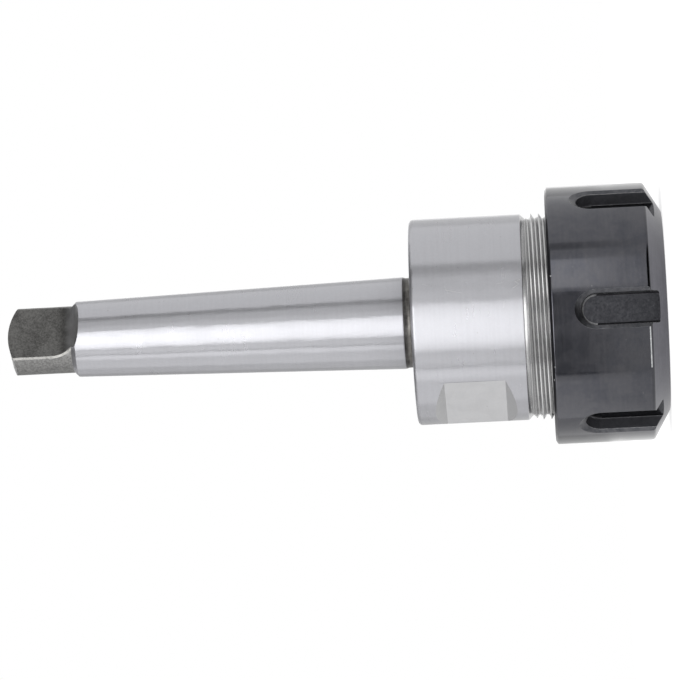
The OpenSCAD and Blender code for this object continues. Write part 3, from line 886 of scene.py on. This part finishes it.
def makeCollet():
    edge = collet["edge"]
    frontZ = colletLow.z
    rearZ = colletHigh.z
    bigZ = frontZ + collet["noseLength"]
    grooveZ = bigZ - collet["grooveWidth"]
    landZ = grooveZ - collet["land"]
    radius = collet["radius"]
    noseRadius = radius - (landZ - frontZ) * tanDeg(collet["noseAngle"])
    rearRadius = radius - (rearZ - bigZ) * tanDeg(socket["angle"])
    grooveRadius = radius - collet["grooveDepth"]
    bore = collet["boreRadius"]
    chamfer = collet["chamfer"]
    body = turn("springCollet", [
        (bore + chamfer, frontZ), (noseRadius, frontZ, edge), (radius, landZ, edge),
        (radius, grooveZ, edge), (grooveRadius, grooveZ, edge), (grooveRadius, bigZ, edge),
        (radius, bigZ, edge), (rearRadius + chamfer * tanDeg(socket["angle"]), rearZ - chamfer),
        (rearRadius - chamfer, rearZ), (bore + chamfer, rearZ), (bore, rearZ - chamfer),
        (bore, frontZ + chamfer), (bore + chamfer, frontZ)])
    body.data.materials.append(springSteel)
    step = 360 / collet["slits"]
    for lowZ, highZ, offset in ((frontZ - overcut, rearZ - collet["slitWeb"], 0),
                                (frontZ + collet["slitWeb"], rearZ + overcut, step / 2)):
        deselectAll()
        bpy.ops.mesh.primitive_cube_add(
            size=1, location=((bore + radius) / 2, 0, (lowZ + highZ) / 2),
            scale=(radius - bore + 2 * overcut, collet["slitWidth"], highZ - lowZ))
        bpy.ops.object.transform_apply(location=True, scale=True)
        slit = bpy.context.object
        slit.data.materials.append(springSteel)
        carve(body, ringOf(slit, [offset + i * step for i in range(collet["slits"])]))
    return body


springCollet = makeCollet()
print("collet made")

finishPiece(holderBody, "holder", "holder_body")
finishPiece(clampingNut, "nut", "clamping_nut")
finishPiece(springCollet, "collet", "collet")

# Studio: a white surround, soft lamps, dark and grey cards, and a pale floor under the nut
studio = {"floorRadius": 0.6, "floorColor": 0.5, "floorGlow": 0.72, "floorShine": 0.38,
          "surroundLevel": 0.75, "seenLevel": 1.0, "dullness": 0.9}
# In reflections the floor is dark in front of the nut, between these angles and radii, with edges
# this soft
floorShade = {"from": -2, "to": 33, "soft": 5, "start": 0.026, "radius": 0.08}
white = (1, 1, 1)
black = (0, 0, 0)
deselectAll()
bpy.ops.mesh.primitive_circle_add(vertices=128, radius=studio["floorRadius"], fill_type="NGON")
floor = bpy.context.object
floor.name = "floor"
paper, tree, shader = newMaterial("paper")
paper.cycles.emission_sampling = "NONE"
shader["Roughness"].default_value = studio["dullness"]
shader["Emission Color"].default_value = (*white, 1)
lightPath = addNode(tree, "LightPath").outputs
place = addNode(tree, "TexCoord").outputs["Object"]
spot = addNode(tree, "SeparateXYZ", {0: place}).outputs
angle = calculate(tree, "ARCTAN2", spot["X"], calculate(tree, "MULTIPLY", spot["Y"], -1))
away = vectorMath(tree, "LENGTH", place)
low, high, soft = [math.radians(floorShade[name]) for name in ("from", "to", "soft")]
shade = lightPath["Is Glossy Ray"]
for limit in (fade(tree, angle, low - soft, low), fade(tree, angle, high, high + soft, 1, 0),
              fade(tree, away, floorShade["start"] - mm, floorShade["start"]),
              fade(tree, away, floorShade["radius"] / 2, floorShade["radius"], 1, 0)):
    shade = calculate(tree, "MULTIPLY", shade, limit)
color = blend(tree, shade, [studio["floorColor"]] * 3, black)
tree.links.new(color, shader["Base Color"])
shine = calculate(tree, "SUBTRACT", lightPath["Is Glossy Ray"], shade)
shine = calculate(tree, "MULTIPLY", shine, studio["floorShine"])
glow = calculate(tree, "MULTIPLY_ADD", lightPath["Is Camera Ray"], studio["floorGlow"], shine)
tree.links.new(glow, shader["Emission Strength"])
floor.data.materials.append(paper)
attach(floor, "nut")

world = bpy.data.worlds.new("surround")
bpy.context.scene.world = world
world.use_nodes = True
tree = world.node_tree
tree.nodes.clear()
lightPath = addNode(tree, "LightPath").outputs
seen = calculate(tree, "MAXIMUM", lightPath["Is Camera Ray"], lightPath["Is Glossy Ray"])
seen = calculate(tree, "MAXIMUM", seen, lightPath["Is Transmission Ray"])
levels = [addNode(tree, "Background", {"Strength": studio[name], "Color": (*white, 1)}).outputs[0]
          for name in ("surroundLevel", "seenLevel")]
mix = addNode(tree, "MixShader", {0: seen, 1: levels[0], 2: levels[1]})
addNode(tree, "OutputWorld", {"Surface": mix.outputs[0]})

# Lamps and cards stand round the chuck; 0 is the camera's side, and angles go up towards +X.
# Angles and spreads are in degrees, other sizes in metres, and a lamp's level is what it adds to
# the white surround behind it.
lamps = {
    "keyLamp": {"shape": "ELLIPSE", "angle": -7, "spread": 58, "away": 1.3,
                "from": 0.15, "to": 1.2, "level": 3.0},
    "fillLamp": {"shape": "RECTANGLE", "angle": -53, "spread": 32, "away": 1.2,
                 "from": 0.16, "to": 1.2, "level": 0.8},
    "softLamp": {"shape": "ELLIPSE", "angle": 25, "spread": 26, "away": 0.95,
                 "from": 0.15, "to": 1.2, "level": 0.4},
    "sideLamp": {"shape": "RECTANGLE", "angle": -88, "spread": 56, "away": 1.1,
                 "from": 0, "to": 0.3, "level": 0.3},
    "stripLamp": {"shape": "RECTANGLE", "angle": 37, "spread": 26, "away": 1.0,
                  "from": 0, "to": 0.1, "level": 1.15},
    "backLamp": {"shape": "RECTANGLE", "angle": 180, "spread": 16, "away": 1.3,
                 "from": 0.1, "to": 1.0, "level": 1.0},
}
cards = {
    "cameraFlag": {"color": 0.36, "angle": -17, "spread": 76, "away": 1.0, "from": 0, "to": 0.15},
    "nutFlag": {"color": 0.5, "angle": 63, "spread": 7, "away": 0.8, "from": 0, "to": 0.1},
    "upperFlag": {"color": 0.22, "angle": 61, "spread": 12, "away": 0.8, "from": 0.1, "to": 1.6},
    "lowerFlag": {"color": 0.03, "angle": -53, "spread": 2.0, "away": 0.8, "from": 0, "to": 1.6},
    "upperCard": {"color": 0.79, "angle": 38, "spread": 32, "away": 1.0, "from": 0.12, "to": 1.6},
    "farCard": {"color": 0.75, "angle": 147, "spread": 28, "away": 0.9, "from": 0, "to": 1.6},
    "lowerFarCard": {"color": 0.57, "angle": -154, "spread": 36, "away": 0.9, "from": 0, "to": 1.6},
    "lowerCard": {"color": 0.88, "angle": -120, "spread": 32, "away": 0.9, "from": 0, "to": 1.6},
    "topCard": {"color": 0.16, "height": 0.8, "size": 1.6},
}


def standing(obj, item):  # at its angle round the chuck, turned to face it
    place = Vector((*facing(item["angle"]), 0)) * item["away"]
    obj.rotation_euler = (-place).to_track_quat("-Z", "Y").to_euler()
    place.z = (item["from"] + item["to"]) / 2
    obj.location = place
    return 2 * item["away"] * tanDeg(item["spread"] / 2), item["to"] - item["from"]


for name, lamp in lamps.items():
    light = bpy.data.lights.new(name, "AREA")
    obj = bpy.data.objects.new(name, light)
    bpy.context.scene.collection.objects.link(obj)
    light.shape = lamp["shape"]
    light.size, light.size_y = standing(obj, lamp)
    area = light.size * light.size_y * (math.pi / 4 if lamp["shape"] == "ELLIPSE" else 1)
    light.energy = lamp["level"] * math.pi * area

for name, card in cards.items():
    deselectAll()
    bpy.ops.mesh.primitive_plane_add(size=1)
    obj = bpy.context.object
    obj.name = name
    if "height" in card:
        obj.location.z = card["height"]
        obj.scale = (card["size"], card["size"], 1)
    else:
        obj.scale = (*standing(obj, card), 1)
    board, tree, shader = newMaterial(name)
    shader["Base Color"].default_value = (*[card["color"]] * 3, 1)
    shader["Roughness"].default_value = studio["dullness"]
    obj.data.materials.append(board)
    obj.visible_camera = False
    obj.visible_diffuse = False
print("studio made")

# Camera: level with the nut, rolled so that the chuck lies across the picture, shank to the left
view = {"lens": 238, "sensor": 36, "place": (0, -0.875, 0.0226), "footPixel": (549, 315.9),
        "slope": 0.0497, "pictureSize": 680}
camera = bpy.data.cameras.new("camera")
camera.lens = view["lens"]
camera.sensor_width = view["sensor"]
cameraObject = bpy.data.objects.new("camera", camera)
bpy.context.scene.collection.objects.link(cameraObject)
bpy.context.scene.camera = cameraObject
focal = view["lens"] / view["sensor"] * view["pictureSize"]
centre = view["pictureSize"] / 2
footX, footY = view["footPixel"]
toFoot = Vector(((footX - centre) / focal, (centre - footY) / focal, -1)).normalized()
alongAxis = Vector((1, view["slope"], 0))
alongAxis = (alongAxis - alongAxis.dot(toFoot) * toFoot).normalized()
up = alongAxis.cross(toFoot)
rolled = Matrix((up, toFoot, -alongAxis)).to_4x4()
cameraObject.matrix_world = Matrix.Translation(view["place"]) @ rolled
bpy.context.scene.view_settings.view_transform = "Standard"
print("camera set")
